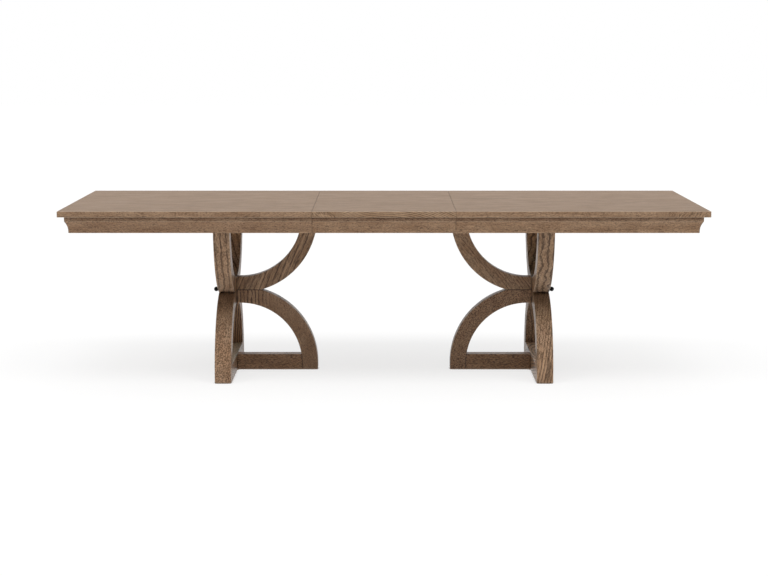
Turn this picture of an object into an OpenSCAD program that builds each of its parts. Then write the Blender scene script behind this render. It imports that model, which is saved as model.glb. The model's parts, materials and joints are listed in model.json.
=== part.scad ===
// Extending trestle dining table: two fixed pedestals, a top in two sliding halves and a drop-in leaf.
// X runs along the table, Y across it and Z up. The origin is on the floor under the table's centre.

/* [Table] */
// Length of the top with the leaf in place
table_len = 2743; // [2600:1:2900]
// Length of the leaf along the table
leaf_len = 606; // [540:1:640]
// Width of the top
table_w = 1016; // [940:1:1100]
// Height of the top's face above the floor
table_h = 762; // [735:1:800]
// Thickness of the top
top_t = 25; // [20:1:32]
// How far each half slides out to free the leaf
slide_out = 30; // [15:1:40]

/* [Apron] */
// Setback of the apron's upper band from the edge of the top
apron_inset = 25.5; // [15:0.5:40]
// Height of the apron
apron_h = 70; // [60:1:90]
// Thickness of the apron where it meets the top
apron_t = 32; // [26:1:40]
// Height of the flat band above the cove
band_h = 20; // [10:1:24]
// Depth that the cove steps back
cove_in = 14.5; // [8:0.5:18]
// Radius of the cove
cove_r = 70; // [50:1:90]
// Leg length of the corner blocks
block_leg = 70; // [50:1:90]
// Height of the corner blocks
block_h = 45; // [30:1:55]

/* [Pedestal] */
// Distance from the table's centre to the outer face of a cross frame
frame_out = 732.5; // [700:0.5:760]
// Thickness of a cross frame along the table
frame_t = 71; // [60:1:80]
// Thickness of an inward spur across the table
spur_t = 57; // [45:1:66]
// Outer radius of the bent arms
arc_r = 345.5; // [335:0.5:352]
// Width of the bent arms
arm_w = 71; // [60:1:80]
// Distance of the arc centres from the joint line
arc_shift = 18; // [10:1:26]
// Height of the lower arc centres
arc_z = 29; // [20:1:34]
// Height of the seam between lower and upper frames
seam_z = 362.5; // [354:0.5:366]
// Height of the foot rails' top
foot_rail_h = 70; // [55:1:85]
// Thickness of the cleats on the arm tops
cleat_t = 27; // [20:1:32]
// Length of the inner cleat across the table
inner_cleat_len = 500; // [460:1:560]
// Thickness of the glides under the feet
glide_t = 3; // [2:0.5:5]
// Diameter of the glides
glide_d = 30; // [20:1:45]

/* [Slides] */
// Distance from the centre line to the middle of a fixed rail
rail_y = 200; // [180:1:215]
// Width of a fixed rail
rail_w = 38; // [32:1:46]
// Height of a fixed rail
rail_h = 42; // [38:1:46]
// Length of a fixed rail past the cross frames
rail_over = 260; // [180:1:400]
// Height of the groove in a fixed rail
groove_h = 12; // [8:0.5:16]
// Depth of the groove in a fixed rail
groove_d = 11; // [7:0.5:14]
// Width of a moving runner
runner_w = 32; // [26:1:40]
// Height of a moving runner
runner_h = 36; // [34:1:38]
// Distance from a runner to the seam and to the end apron
runner_back = 60; // [30:1:120]

/* [Equalizer gear] */
// Tooth module of the pinion and the racks
gear_m = 2.5; // [2:0.25:3]
// Number of teeth on the pinion
gear_teeth = 20; // [18:2:24]
// Thickness of the pinion and the racks
gear_t = 12; // [8:1:14]
// Width of a rack bar behind its teeth
rack_w = 20; // [16:1:26]
// Length of the rack's foot under a half
rack_foot = 150; // [100:1:220]
// Diameter of the axle
axle_d = 12; // [8:1:16]
// Width of the bridge that carries the axle
bridge_w = 120; // [80:1:160]
// Thickness of the bridge
bridge_t = 18; // [14:1:25]

/* [Leaf] */
// Thickness of the battens under the leaf
batten_t = 20; // [14:1:22]
// Width of the battens
batten_w = 50; // [35:1:70]
// Distance of the battens from the centre
batten_x = 200; // [150:1:230]

/* [Leaf locks] */
// Distance of the locks from the centre line
lock_y = 330; // [310:1:380]
// Distance of a lock's pivot from the seam
lock_in = 35; // [25:1:40]
// Length of a lever from its pivot to the middle of its round tip
lever_len = 62; // [55:1:75]
// Width of a lever
lever_w = 16; // [12:1:20]
// Thickness of a lever
lever_t = 3; // [2:0.5:4]
// Space between the leaf and a lever
lever_drop = 3; // [2:0.5:5]
// Distance from a lever's pivot to its thumb stud
thumb_r = 24; // [20:1:25]
// Diameter of a pivot's shank
pivot_d = 6; // [4:0.5:8]
// Length of a strike along the table
strike_len = 37; // [30:1:45]
// Thickness of a strike's shelf
shelf_t = 3.5; // [2.5:0.5:5]
// Width of a strike's pad
pad_w = 20; // [16:1:30]

/* [Fasteners] */
// Diameter of the wood screws
screw_d = 5; // [4:0.5:6]
// Diameter of the screw heads
screw_head_d = 9.5; // [8:0.5:12]
// Height of the screw heads
screw_head_t = 3.5; // [2.5:0.5:4]
// Depth that screws bite into the piece they hold
screw_bite = 14; // [10:1:16]
// Diameter of the lag screws in the arms
lag_d = 8; // [6:1:10]
// Length of a lag screw below its head
lag_len = 80; // [60:1:110]
// Diameter of the tie bolts
tie_d = 10; // [8:1:12]
// Diameter of the ball on a tie bolt
ball_d = 21; // [16:1:26]
// Distance from the cross frame's face to the middle of the ball
ball_out = 22; // [16:1:28]
// Diameter of the barrel nuts
nut_d = 16; // [14:1:20]
// Length of the barrel nuts
nut_len = 30; // [22:1:36]
// Distance of a barrel nut from the cross frame
nut_in = 45; // [30:1:70]

/* [Clearances] */
// Gap between pieces that slide past each other
run_gap = 0.3; // [0.2:0.05:0.6]
// Gap on each side of the leaf
seam_gap = 0.3; // [0.2:0.05:0.6]
// Radial play of a screw in its hole
screw_fit = 0.1; // [0.05:0.05:0.3]
// Radial play of a turning piece on its shaft
turn_fit = 0.05; // [0.02:0.01:0.1]
// Play between meshed teeth at the pitch line
gear_play = 0.4; // [0.3:0.05:0.6]

/* [Hidden] */
$fn = 96;

// Levels
under_z = table_h - top_t;
rail_z = under_z - run_gap - rail_h;
arm_top = rail_z - cleat_t;
groove_z = rail_z + rail_h / 2;
gear_z = rail_z + run_gap;
lever_z = under_z - lever_drop - lever_t;
shelf_z = lever_z - 2 * run_gap - shelf_t;

// Small distances
cut = 1;
seam_set = 8;
strike_set = 5;
strike_space = 2;
head_cover = 2;
rack_screw_in = 25;
runner_screw_in = 40;
batten_gap = 5;
batten_screw_y = 0.8;
strike_screws = [0.2, 0.8];
collar_t = 3;
collar_rim = 2;
cap_rim = 5;
thumb_d = 9;

// Places along the table
end_x = table_len / 2;
seam_x = leaf_len / 2;
half_x = seam_x + seam_gap / 2;
leaf_x = seam_x - seam_gap / 2;
frame_in = frame_out - frame_t;
rail_end = frame_out + rail_over;
runner_start = half_x + seam_set;
runner_end = end_x - apron_inset - apron_t - runner_back;
strike_x = half_x + strike_set;
lock_x = seam_x - lock_in;

// Places across the table
side_y = table_w / 2;
rail_face = rail_y + rail_w / 2;
runner_y = rail_face + run_gap;
strike_y = lock_y + lever_w / 2 + strike_space;

// Bent arms: the reach of the outer and inner curve at a height h above the arc centre
inner_r = arc_r - arm_w;
reach = arc_shift + arc_r;
function reach_at(r, h) = arc_shift + sqrt(r * r - h * h);
upper_arc_z = 2 * seam_z - arc_z;
arm_out = reach_at(arc_r, max(0, upper_arc_z - arm_top));
arm_in = reach_at(inner_r, max(0, upper_arc_z - arm_top));
arm_mid = (arm_out + arm_in) / 2;
leg_mid = reach - arm_w / 2;

// Cove of the apron
cove_len = sqrt(pow(cove_r, 2) - pow(cove_r - cove_in, 2));

// Gear
pitch_r = gear_m * gear_teeth / 2;
tooth_pitch = PI * gear_m;
addendum = gear_m;
dedendum = 1.25 * gear_m;
pressure = 20;
base_r = pitch_r * cos(pressure);
rack_y = pitch_r + dedendum;
rack_first = -2;
rack_last = ceil(slide_out / tooth_pitch) + 1;
rack_tip = (rack_last + 1) * tooth_pitch;
rack_in = half_x + seam_set;
rack_out = half_x + rack_foot;

// Screws: the length between a head's seat and the face of the piece that the screw bites into
grip = 14;
batten_grip = batten_t - screw_head_t - head_cover;
bridge_grip = bridge_t - screw_head_t - head_cover;
strike_grip = under_z - shelf_z;
axle_head_t = 5;
cap_t = 3;
hex_t = 6;
glide_pin_len = 7 * glide_t;
glide_pin_d = glide_d / 6;

module oak() { color([0.50, 0.40, 0.32]) children(); }
module oak_top() { color([0.62, 0.54, 0.48]) children(); }
module beech() { color([0.72, 0.58, 0.42]) children(); }
module steel() { color([0.62, 0.63, 0.65]) children(); }
module black() { color([0.08, 0.08, 0.08]) children(); }
module nylon() { color([0.90, 0.88, 0.82]) children(); }

// Draws a piece of the right end at the right (s = 1) or mirrored at the left (s = -1)
module at_end(s) {
    if (s < 0) mirror([1, 0, 0]) children();
    else children();
}

// Draws a piece of the front at the front (s = -1) or mirrored at the back (s = 1)
module at_side(s) {
    if (s > 0) mirror([0, 1, 0]) children();
    else children();
}

// Extrudes a face drawn in (Y, Z) along X, starting at x
module along_x(x, len) {
    translate([x, 0, 0]) rotate([90, 0, 90]) linear_extrude(len) children();
}

// Extrudes a face drawn in (X, Z) along Y, centred on the middle plane
module along_y(len) {
    rotate([90, 0, 0]) linear_extrude(len, center = true) children();
}

// Face of the bay under an arch with a curve of radius r, drawn about the joint line
module bay(r) {
    for (s = [-1, 1]) translate([s * arc_shift, arc_z]) circle(r);
    translate([-arc_shift, arc_z]) square([2 * arc_shift, r]);
    translate([-arc_shift - r, -arc_r]) square([2 * (arc_shift + r), arc_z + arc_r]);
}

// Face of an arch from the height low to the seam, from the place side outwards
module arch_face(low, side = -reach) {
    intersection() {
        difference() {
            bay(arc_r);
            bay(inner_r);
        }
        translate([side, low]) square([reach - side, seam_z - low]);
    }
}

// Face of an upper arch: the lower one turned over at the seam
module upper_face(side = -reach) {
    translate([0, 2 * seam_z]) mirror([0, 1]) arch_face(2 * seam_z - arm_top, side);
}

// Face of a foot rail between the ends of an arch
module foot_face(side = -reach) {
    intersection() {
        bay(inner_r);
        translate([side, glide_t]) square([reach - side, foot_rail_h - glide_t]);
    }
}

// Extrudes a face of the cross frame
module cross() { along_x(frame_in, frame_t) children(); }

// Extrudes a face of the spur, which runs from the cross frame towards the table's middle
module spur() { along_y(spur_t) translate([frame_in, 0]) mirror([1, 0]) children(); }

// A wood screw that points up, with its head's seat at the origin
module screw(grip_len) {
    translate([0, 0, -screw_head_t]) cylinder(h = screw_head_t, d = screw_head_d);
    cylinder(h = grip_len + screw_bite, d = screw_d);
}

// The hole of a screw: a bore for its shank, and a pocket of depth sink below its seat
module screw_hole(grip_len, sink = 0) {
    cylinder(h = grip_len + screw_bite + screw_fit, d = screw_d + 2 * screw_fit);
    if (sink > 0) translate([0, 0, -sink]) cylinder(h = sink, d = screw_head_d + 4 * screw_fit);
}

// Places of the lag screws in the arm ends
module lag_spots() {
    for (y = [-arm_mid, arm_mid]) translate([frame_out - frame_t / 2, y, rail_z]) children();
    translate([frame_in - arm_mid, 0, rail_z]) children();
}

module lag_holes() {
    lag_spots() translate([0, 0, -lag_len - screw_fit])
        cylinder(h = lag_len + 2 * screw_fit, d = lag_d + 2 * screw_fit);
}

// Places of the glides under the feet
module glide_spots() {
    for (y = [-leg_mid, leg_mid]) translate([frame_out - frame_t / 2, y, 0]) children();
    translate([frame_in - leg_mid, 0, 0]) children();
}

module glide_holes() { glide_spots() cylinder(h = glide_pin_len, d = glide_pin_d); }

// Room for a tie bolt and its barrel nut
module tie_room() {
    translate([0, 0, seam_z]) rotate([0, 90, 0]) translate([0, 0, frame_in - nut_in - nut_d])
        cylinder(h = frame_t + nut_in + nut_d + cut, d = tie_d + 2 * screw_fit);
    translate([frame_in - nut_in, 0, seam_z - nut_len / 2]) cylinder(h = nut_len, d = nut_d);
}

// Pedestal
module arch_lower(s) {
    oak() at_end(s) difference() {
        cross() arch_face(glide_t);
        tie_room();
        glide_holes();
    }
}

module arch_upper(s) {
    oak() at_end(s) difference() {
        cross() upper_face();
        tie_room();
        lag_holes();
    }
}

module arch_foot(s) { oak() at_end(s) cross() foot_face(); }

module spur_lower(s) {
    oak() at_end(s) difference() {
        spur() arch_face(glide_t, 0);
        tie_room();
        glide_holes();
    }
}

module spur_upper(s) {
    oak() at_end(s) difference() {
        spur() upper_face(0);
        tie_room();
        lag_holes();
    }
}

module spur_foot(s) { oak() at_end(s) spur() foot_face(0); }

module outer_cleat(s) {
    beech() at_end(s) difference() {
        translate([frame_in, -arm_out, arm_top]) cube([frame_t, 2 * arm_out, cleat_t]);
        lag_holes();
        cleat_screw_spots() screw_hole(grip, cleat_t - grip);
    }
}

module inner_cleat(s) {
    beech() at_end(s) difference() {
        translate([frame_in - arm_out, -inner_cleat_len / 2, arm_top])
            cube([arm_out - arm_in, inner_cleat_len, cleat_t]);
        lag_holes();
        cleat_screw_spots() screw_hole(grip, cleat_t - grip);
    }
}

module tie_bolt(s) {
    black() at_end(s) translate([frame_out, 0, seam_z]) {
        translate([ball_out, 0, 0]) sphere(d = ball_d);
        rotate([0, 90, 0]) {
            cylinder(h = ball_out, d = tie_d);
            cylinder(h = collar_t, d = tie_d + 2 * collar_rim);
            translate([0, 0, -frame_t - nut_in - nut_d]) cylinder(h = frame_t + nut_in + nut_d, d = tie_d);
        }
    }
}

module tie_nut(s) {
    steel() at_end(s) translate([frame_in - nut_in, 0, seam_z]) difference() {
        cylinder(h = nut_len, d = nut_d, center = true);
        rotate([0, 90, 0]) cylinder(h = 2 * nut_d, d = tie_d, center = true);
    }
}

module lags(s) {
    steel() at_end(s) lag_spots() {
        cylinder(h = hex_t, d = 2 * lag_d, $fn = 6);
        translate([0, 0, -lag_len]) cylinder(h = lag_len, d = lag_d);
    }
}

module glides(s) {
    nylon() at_end(s) glide_spots() {
        cylinder(h = glide_t / 3, d1 = glide_d - glide_t, d2 = glide_d);
        translate([0, 0, glide_t / 3]) cylinder(h = glide_t * 2 / 3, d = glide_d);
        cylinder(h = glide_pin_len, d = glide_pin_d);
    }
}

// Places where a cleat is screwed up into the fixed rails
module cleat_screw_spots() {
    for (x = [frame_out - frame_t / 2, frame_in - arm_mid], y = [-rail_y, rail_y])
        translate([x, y, rail_z - grip]) children();
}

// Places where the bridge is screwed up into the fixed rails
module bridge_screw_spots() {
    for (x = [-bridge_w / 3, bridge_w / 3], y = [-rail_y, rail_y])
        translate([x, y, rail_z - bridge_grip]) children();
}

module fixed_rail(side) {
    beech() at_side(side) difference() {
        translate([-rail_end, -rail_face, rail_z]) cube([2 * rail_end, rail_w, rail_h]);
        translate([-rail_end - cut, -rail_face - cut, groove_z - groove_h / 2])
            cube([2 * (rail_end + cut), groove_d + cut, groove_h]);
        for (s = [-1, 1]) at_end(s) cleat_screw_spots() screw_hole(grip);
        bridge_screw_spots() screw_hole(bridge_grip);
    }
}

module gear_bridge() {
    beech() difference() {
        translate([-bridge_w / 2, -rail_face, rail_z - bridge_t]) cube([bridge_w, 2 * rail_face, bridge_t]);
        translate([0, 0, rail_z - bridge_t - cut])
            cylinder(h = bridge_t + 2 * cut, d = axle_d + 2 * screw_fit);
        bridge_screw_spots() screw_hole(bridge_grip, bridge_t - bridge_grip);
    }
}

module pinion_axle() {
    steel() {
        translate([0, 0, rail_z - bridge_t - axle_head_t]) cylinder(h = axle_head_t, d = 2 * axle_d);
        translate([0, 0, rail_z - bridge_t]) cylinder(h = bridge_t + gear_t + 2 * run_gap, d = axle_d);
        translate([0, 0, gear_z + gear_t + run_gap]) cylinder(h = cap_t, d = axle_d + 2 * cap_rim);
    }
}

module rail_screws() {
    steel() {
        for (s = [-1, 1]) at_end(s) cleat_screw_spots() screw(grip);
        bridge_screw_spots() screw(bridge_grip);
    }
}

// Half the angle that a tooth takes at radius r, from the involute of the base circle
function involute(a) = tan(a) * 180 / PI - a;
function tooth_half(r) =
    90 / gear_teeth - gear_play / 4 / pitch_r * 180 / PI
    + involute(pressure) - involute(acos(min(1, base_r / r)));
function polar(r, a) = [r * cos(a), r * sin(a)];

module pinion() {
    root_r = pitch_r - dedendum;
    flank = [root_r, base_r, (base_r + pitch_r) / 2, pitch_r, pitch_r + addendum / 2, pitch_r + addendum];
    tooth = [
        for (r = flank) [r, -tooth_half(max(r, base_r))],
        for (i = [len(flank) - 1:-1:0]) [flank[i], tooth_half(max(flank[i], base_r))]
    ];
    nylon() translate([0, 0, gear_z]) difference() {
        linear_extrude(gear_t) polygon([
            for (i = [0:gear_teeth - 1], p = tooth) polar(p[0], p[1] + 90 + i * 360 / gear_teeth)
        ]);
        translate([0, 0, -cut]) cylinder(h = gear_t + 2 * cut, d = axle_d + 2 * turn_fit);
    }
}

// One tooth of a rack, centred at x, that points towards the pinion
module rack_tooth(x) {
    mid = (tooth_pitch - gear_play) / 4;
    tip = mid - addendum * tan(pressure);
    root = mid + dedendum * tan(pressure);
    tip_y = pitch_r - addendum;
    polygon([
        [x - root, rack_y + cut], [x - root, rack_y], [x - tip, tip_y],
        [x + tip, tip_y], [x + root, rack_y], [x + root, rack_y + cut]
    ]);
}

// Places of the rack's screws, in front of the middle at the right and behind it at the left
module rack_spots(s) {
    for (x = [rack_in + rack_screw_in, rack_out - rack_screw_in])
        translate([x, -s * (rack_y + rack_w / 2), under_z - grip]) children();
}

module rack(s) {
    beech() difference() {
        rotate([0, 0, s > 0 ? 180 : 0]) {
            translate([0, 0, gear_z]) linear_extrude(gear_t) {
                translate([-rack_out, rack_y]) square([rack_out + rack_tip, rack_w]);
                for (i = [rack_first:rack_last]) rack_tooth((i + 0.5) * tooth_pitch);
            }
            translate([-rack_out, rack_y, gear_z]) cube([rack_out - rack_in, rack_w, under_z - gear_z]);
        }
        at_end(s) rack_spots(s) screw_hole(grip, under_z - gear_z - grip + cut);
    }
}

// Face of the apron, from the edge of the top inwards and from the top's underside down
module apron_face() {
    difference() {
        translate([apron_inset, -apron_h]) square([apron_t, apron_h]);
        translate([apron_inset + cove_in - cove_r, -band_h - cove_len]) circle(cove_r);
        translate([apron_inset - cut, -band_h - cove_len - apron_h]) square([cove_in + cut, apron_h]);
    }
}

// The front apron's plan, mitred at the corner of the top
module mitre_plan() {
    d = apron_inset + apron_t + cut;
    polygon([[half_x, -side_y], [end_x, -side_y], [end_x - d, -side_y + d], [half_x, -side_y + d]]);
}

module apron_side(s, side) {
    oak() at_end(s) at_side(side) intersection() {
        along_x(half_x, end_x - half_x) translate([-side_y, under_z]) apron_face();
        translate([0, 0, under_z - apron_h]) linear_extrude(apron_h) mitre_plan();
    }
}

module apron_end(s) {
    d = apron_inset + apron_t + cut;
    oak() at_end(s) intersection() {
        along_y(table_w) translate([end_x, under_z]) mirror([1, 0]) apron_face();
        translate([0, 0, under_z - apron_h]) linear_extrude(apron_h)
            polygon([[end_x, -side_y], [end_x, side_y], [end_x - d, side_y - d], [end_x - d, -side_y + d]]);
    }
}

module corner_blocks(s) {
    in = apron_inset + apron_t;
    beech() at_end(s) for (side = [-1, 1]) at_side(side)
        translate([end_x - in, -side_y + in, under_z - block_h]) linear_extrude(block_h)
            polygon([[0, 0], [-block_leg, 0], [0, block_leg]]);
}

// Places of the screws that hold the runners
module runner_spots() {
    step = (runner_end - runner_start - 2 * runner_screw_in) / 3;
    for (i = [0:3], side = [-1, 1]) at_side(side)
        translate([runner_start + runner_screw_in + i * step, -runner_y - runner_w / 2, under_z - grip])
            children();
}

module runner(s, side) {
    beech() at_end(s) difference() {
        at_side(side) {
            translate([runner_start, -runner_y - runner_w, under_z - runner_h])
                cube([runner_end - runner_start, runner_w, runner_h]);
            translate([runner_start, -runner_y - cut, groove_z - groove_h / 2 + run_gap])
                cube([runner_end - runner_start, groove_d + cut, groove_h - 2 * run_gap]);
        }
        runner_spots() screw_hole(grip, runner_h - grip + cut);
    }
}

// Places of the screws that hold the strikes
module strike_spots() {
    for (i = strike_screws, side = [-1, 1]) at_side(side)
        translate([strike_x + i * strike_len, -strike_y - pad_w / 2, shelf_z]) children();
}

// A strike is a pad with a shelf that the lever's tip slides over
module strikes(s) {
    steel() at_end(s) difference() {
        for (side = [-1, 1]) at_side(side) {
            translate([strike_x, -strike_y - pad_w, shelf_z]) cube([strike_len, pad_w, under_z - shelf_z]);
            translate([strike_x, -strike_y - cut, shelf_z])
                cube([strike_len, strike_y + cut - lock_y + lever_w / 2, shelf_t]);
        }
        strike_spots() screw_hole(strike_grip);
    }
}

module half_top(s) {
    oak_top() at_end(s) difference() {
        translate([half_x, -side_y, under_z]) cube([end_x - half_x, 2 * side_y, top_t]);
        runner_spots() screw_hole(grip);
        rack_spots(s) screw_hole(grip);
        strike_spots() screw_hole(strike_grip);
    }
}

module half_screws(s) {
    steel() at_end(s) {
        runner_spots() screw(grip);
        rack_spots(s) screw(grip);
        strike_spots() screw(strike_grip);
    }
}

// Places of the screws that hold the leaf's battens
module batten_spots() {
    for (x = [-batten_x, batten_x], y = [-1, 0, 1])
        translate([x, y * (rail_y - rail_w) * batten_screw_y, under_z - batten_grip]) children();
}

// Places of the lock pivots, at the underside of the leaf
module pivot_spots() {
    for (s = [-1, 1], side = [-1, 1]) at_end(s) at_side(side) translate([lock_x, -lock_y, 0]) children();
}

module leaf_top() {
    oak_top() difference() {
        translate([-leaf_x, -side_y, under_z]) cube([2 * leaf_x, 2 * side_y, top_t]);
        batten_spots() screw_hole(batten_grip);
        pivot_spots() translate([0, 0, under_z - cut])
            cylinder(h = screw_bite + cut + screw_fit, d = pivot_d + 2 * screw_fit);
    }
}

module leaf_apron(side) {
    oak() at_side(side) along_x(-leaf_x, 2 * leaf_x) translate([-side_y, under_z]) apron_face();
}

module leaf_battens() {
    half_len = rail_y - rail_w / 2 - batten_gap;
    beech() difference() {
        for (x = [-batten_x, batten_x]) translate([x - batten_w / 2, -half_len, under_z - batten_t])
            cube([batten_w, 2 * half_len, batten_t]);
        batten_spots() screw_hole(batten_grip, batten_t - batten_grip + cut);
    }
}

module leaf_screws() { steel() batten_spots() screw(batten_grip); }

module leaf_pivots() {
    steel() pivot_spots() {
        translate([0, 0, lever_z + lever_t + run_gap])
            cylinder(h = under_z - lever_z - lever_t - run_gap, d = 2 * pivot_d);
        translate([0, 0, lever_z - run_gap])
            cylinder(h = under_z - lever_z + run_gap + screw_bite, d = pivot_d);
        translate([0, 0, lever_z - run_gap - lever_t]) cylinder(h = lever_t, d = 2 * pivot_d);
    }
}

// A lever lies along Y when it is open, with its tip towards the centre line
module lock_lever(s, side) {
    steel() at_end(s) at_side(side) translate([lock_x, -lock_y, lever_z]) difference() {
        union() {
            translate([-lever_w / 2, 0, 0]) cube([lever_w, lever_len, lever_t]);
            cylinder(h = lever_t, d = lever_w);
            translate([0, lever_len, 0]) cylinder(h = lever_t, d = lever_w);
            translate([0, thumb_r, -lever_w / 2]) cylinder(h = lever_w / 2, d = thumb_d);
        }
        translate([0, 0, -cut]) cylinder(h = lever_t + 2 * cut, d = pivot_d + 2 * turn_fit);
    }
}

arch_lower(-1);  // left_arch_lower
arch_upper(-1);  // left_arch_upper
arch_foot(-1);  // left_arch_foot
spur_lower(-1);  // left_spur_lower
spur_upper(-1);  // left_spur_upper
spur_foot(-1);  // left_spur_foot
outer_cleat(-1);  // left_outer_cleat
inner_cleat(-1);  // left_inner_cleat
tie_bolt(-1);  // left_tie_bolt
tie_nut(-1);  // left_tie_nut
lags(-1);  // left_lags
glides(-1);  // left_glides
arch_lower(1);  // right_arch_lower
arch_upper(1);  // right_arch_upper
arch_foot(1);  // right_arch_foot
spur_lower(1);  // right_spur_lower
spur_upper(1);  // right_spur_upper
spur_foot(1);  // right_spur_foot
outer_cleat(1);  // right_outer_cleat
inner_cleat(1);  // right_inner_cleat
tie_bolt(1);  // right_tie_bolt
tie_nut(1);  // right_tie_nut
lags(1);  // right_lags
glides(1);  // right_glides
fixed_rail(-1);  // rail_front
fixed_rail(1);  // rail_back
gear_bridge();
pinion_axle();
rail_screws();
pinion();
half_top(-1);  // left_top
apron_side(-1, -1);  // left_apron_front
apron_side(-1, 1);  // left_apron_back
apron_end(-1);  // left_apron_end
corner_blocks(-1);  // left_corner_blocks
runner(-1, -1);  // left_runner_front
runner(-1, 1);  // left_runner_back
rack(-1);  // left_rack
half_screws(-1);  // left_screws
strikes(-1);  // left_strikes
half_top(1);  // right_top
apron_side(1, -1);  // right_apron_front
apron_side(1, 1);  // right_apron_back
apron_end(1);  // right_apron_end
corner_blocks(1);  // right_corner_blocks
runner(1, -1);  // right_runner_front
runner(1, 1);  // right_runner_back
rack(1);  // right_rack
half_screws(1);  // right_screws
strikes(1);  // right_strikes
leaf_top();
leaf_apron(-1);  // leaf_apron_front
leaf_apron(1);  // leaf_apron_back
leaf_battens();
leaf_screws();
leaf_pivots();
lock_lever(-1, -1);  // lock_front_left
lock_lever(1, -1);  // lock_front_right
lock_lever(-1, 1);  // lock_back_left
lock_lever(1, 1);  // lock_back_right
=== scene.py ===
import json
import math

import bmesh
import bpy
from mathutils import Matrix, Vector
from mathutils.bvhtree import BVHTree
from mathutils.kdtree import KDTree


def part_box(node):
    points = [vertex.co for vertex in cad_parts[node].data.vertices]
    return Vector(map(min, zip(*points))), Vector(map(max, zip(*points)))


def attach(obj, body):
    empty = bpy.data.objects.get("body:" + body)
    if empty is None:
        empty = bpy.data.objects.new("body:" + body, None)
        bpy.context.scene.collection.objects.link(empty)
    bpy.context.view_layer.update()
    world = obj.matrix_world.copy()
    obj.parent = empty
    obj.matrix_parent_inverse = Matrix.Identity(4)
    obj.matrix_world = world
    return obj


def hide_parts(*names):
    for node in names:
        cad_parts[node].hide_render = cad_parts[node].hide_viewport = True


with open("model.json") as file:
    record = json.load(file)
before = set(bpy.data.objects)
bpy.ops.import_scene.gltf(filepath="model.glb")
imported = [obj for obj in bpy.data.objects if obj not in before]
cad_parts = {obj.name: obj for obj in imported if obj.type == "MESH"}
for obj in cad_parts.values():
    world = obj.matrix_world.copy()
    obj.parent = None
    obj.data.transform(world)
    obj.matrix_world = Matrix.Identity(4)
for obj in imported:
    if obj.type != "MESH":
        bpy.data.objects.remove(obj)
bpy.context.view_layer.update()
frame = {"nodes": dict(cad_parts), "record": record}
nodes = frame["nodes"]
bodyOf = {node: body for body, members in frame["record"]["behaviour"]["bodies"].items() for node in members}
print("loaded the frame:", len(nodes), "nodes")

# The camera, as fitted to the photograph
cameraSettings = {"location": (0.0, -7.9496, 1.4955), "pitchDown": 8.082, "lens": 83.626, "sensor": 36.0,
                  "clipEnd": 100.0}
cameraData = bpy.data.cameras.new("camera")
cameraData.lens = cameraSettings["lens"]
cameraData.sensor_width = cameraSettings["sensor"]
cameraData.clip_end = cameraSettings["clipEnd"]
camera = bpy.data.objects.new("camera", cameraData)
camera.location = cameraSettings["location"]
camera.rotation_euler = (math.radians(90.0 - cameraSettings["pitchDown"]), 0.0, 0.0)
bpy.context.scene.collection.objects.link(camera)
bpy.context.scene.camera = camera
bpy.context.scene.view_settings.view_transform = "Standard"

# Light: a dome that brightens towards the zenith, and a row of soft lights high above the front
keySettings = {"tilt": 24.0, "fan": (-34.0, 0.0, 34.0), "spread": 28.0, "strength": 0.66, "distance": 5.0}
domeSettings = {"camera": 1.0, "glossy": 1.0, "zenith": 1.3}


def addKeys(settings):
    for number, fan in enumerate(settings["fan"]):
        data = bpy.data.lights.new("keyLight", "SUN")
        data.energy = settings["strength"]
        data.angle = math.radians(settings["spread"])
        light = bpy.data.objects.new("keyLight" + str(number), data)
        aim = Vector((math.tan(math.radians(fan)), math.tan(math.radians(settings["tilt"])), -1.0))
        light.location = aim * -settings["distance"]
        light.rotation_euler = aim.to_track_quat("-Z", "Y").to_euler()
        light.visible_camera = False
        light.visible_glossy = False
        bpy.context.scene.collection.objects.link(light)


addKeys(keySettings)


class Tree:
    # Adds nodes and links to one node tree, with values or sockets given by input name or number
    def __init__(self, tree):
        self.tree = tree

    def give(self, socket, value):
        if isinstance(value, bpy.types.NodeSocket):
            self.tree.links.new(value, socket)
        elif socket.type == "RGBA" and len(value) == 3:
            socket.default_value = (*value, 1.0)
        else:
            socket.default_value = value

    def add(self, kind, inputs=None, **props):
        node = self.tree.nodes.new(kind)
        for key, value in props.items():
            setattr(node, key, value)
        for key, value in (inputs or {}).items():
            self.give(node.inputs[key], value)
        return node

    def math(self, operation, *values):
        return self.add("ShaderNodeMath", dict(enumerate(values)), operation=operation).outputs[0]

    def vector(self, operation, *values):
        node = self.add("ShaderNodeVectorMath", dict(enumerate(values)), operation=operation)
        return node.outputs["Value" if operation in ("LENGTH", "DOT_PRODUCT") else "Vector"]

    def scaled(self, vector, factor):
        return self.add("ShaderNodeVectorMath", {0: vector, 3: factor}, operation="SCALE").outputs["Vector"]

    def noise(self, vector, stretch, detail=2.0, roughness=0.5, output="Fac"):
        stretched = self.vector("MULTIPLY", vector, stretch)
        inputs = {"Vector": stretched, "Scale": 1.0, "Detail": detail, "Roughness": roughness}
        return self.add("ShaderNodeTexNoise", inputs).outputs[output]

    def remap(self, value, low, high, newLow=0.0, newHigh=1.0, smooth=False):
        kind = "SMOOTHSTEP" if smooth else "LINEAR"
        inputs = {"Value": value, "From Min": low, "From Max": high, "To Min": newLow, "To Max": newHigh}
        return self.add("ShaderNodeMapRange", inputs, interpolation_type=kind).outputs[0]

    def mix(self, factor, a, b, kind="RGBA"):
        first, second, out = {"FLOAT": (2, 3, 0), "VECTOR": (4, 5, 1), "RGBA": (6, 7, 2)}[kind]
        return self.add("ShaderNodeMix", {0: factor, first: a, second: b}, data_type=kind).outputs[out]


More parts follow.
